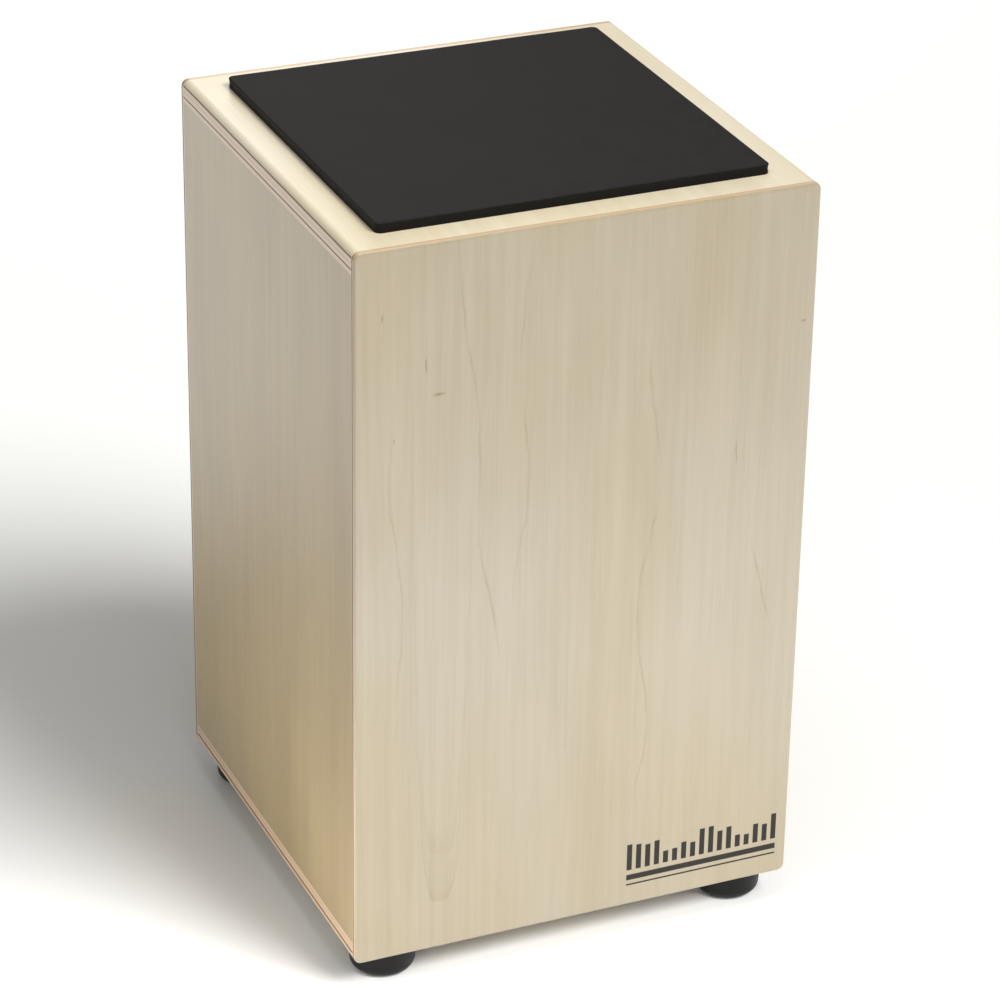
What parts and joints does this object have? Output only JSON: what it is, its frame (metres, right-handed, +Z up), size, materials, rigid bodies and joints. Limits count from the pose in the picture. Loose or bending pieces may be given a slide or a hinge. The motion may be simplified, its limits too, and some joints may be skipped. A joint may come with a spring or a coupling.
{
  "type": "cajon",
  "caption": "Plywood box drum with a thin striking plate, a sound hole behind, a rubber seat pad, rubber feet and snare strings tightened from below.",
  "frame": {"origin": "on the floor, under the middle of the box", "axes": "+Z up, -Y out of the striking plate, +X to the right when facing the striking plate"},
  "size_m": [0.3, 0.3, 0.5095],
  "materials": {
    "birch_plywood": "clear satin lacquer",
    "maple_veneer_ply": "clear satin lacquer",
    "pine_strip": "planed, unfinished",
    "beech_block": "planed, unfinished",
    "foam_rubber": "matt, fine grained",
    "foot_rubber": "moulded, semi-matt",
    "zinc_steel": "bright zinc",
    "mill_aluminium": "extruded, as made",
    "string_steel": "wound steel wire",
    "brass": "crimped",
    "carrier_steel": "milled",
    "black_oxide_steel": "black oxide",
    "nickel_plate": "nickel plate"
  },
  "bodies": {
    "box": {"top_panel": "birch_plywood", "bottom_panel": "birch_plywood", "left_side_panel": "birch_plywood", "right_side_panel": "birch_plywood", "back_panel": "birch_plywood", "tapa": "maple_veneer_ply", "front_batten_top": "pine_strip", "front_batten_bottom": "pine_strip", "front_batten_left": "pine_strip", "front_batten_right": "pine_strip", "back_batten_top": "pine_strip", "back_batten_bottom": "pine_strip", "back_batten_left": "pine_strip", "back_batten_right": "pine_strip", "seat_pad": "foam_rubber", "foot_front_left": "foot_rubber", "foot_front_right": "foot_rubber", "foot_back_left": "foot_rubber", "foot_back_right": "foot_rubber", "foot_washers": "zinc_steel", "foot_screws": "zinc_steel", "anchor_screws": "zinc_steel", "tuner_block_screws": "zinc_steel", "string_anchor_bar": "mill_aluminium", "snare_string_left": "string_steel", "snare_string_right": "string_steel", "string_stops": "brass", "tuner_block": "beech_block", "bolt_ferrule_left": "nickel_plate", "bolt_ferrule_right": "nickel_plate"},
    "bolt_left": {"tension_bolt_left": "black_oxide_steel", "bolt_clip_left": "black_oxide_steel"},
    "bolt_right": {"tension_bolt_right": "black_oxide_steel", "bolt_clip_right": "black_oxide_steel"},
    "carrier_left": {"string_carrier_left": "carrier_steel"},
    "carrier_right": {"string_carrier_right": "carrier_steel"}
  },
  "joints": [
    {"name": "bolt_left_turn", "type": "hinge", "parent": "box", "child": "bolt_left", "pos_m": [-0.06, -0.136, 0.03095], "axis": [0, 0, 1], "range_deg": [-1080, 1080]},
    {"name": "bolt_right_turn", "type": "hinge", "parent": "box", "child": "bolt_right", "pos_m": [0.06, -0.136, 0.03095], "axis": [0, 0, 1], "range_deg": [-1080, 1080]},
    {"name": "carrier_left_slide", "type": "slide", "parent": "box", "child": "carrier_left", "axis": [0, 0, 1], "range_m": [-0.00301, 0.00301], "deforming": ["snare_string_left"]},
    {"name": "carrier_right_slide", "type": "slide", "parent": "box", "child": "carrier_right", "axis": [0, 0, 1], "range_m": [-0.00301, 0.00301], "deforming": ["snare_string_right"]}
  ],
  "couplings": [
    {"joint": "carrier_left_slide", "follows": "bolt_left_turn", "m_per_rad": -0.00015915},
    {"joint": "carrier_right_slide", "follows": "bolt_right_turn", "m_per_rad": -0.00015915}
  ]
}
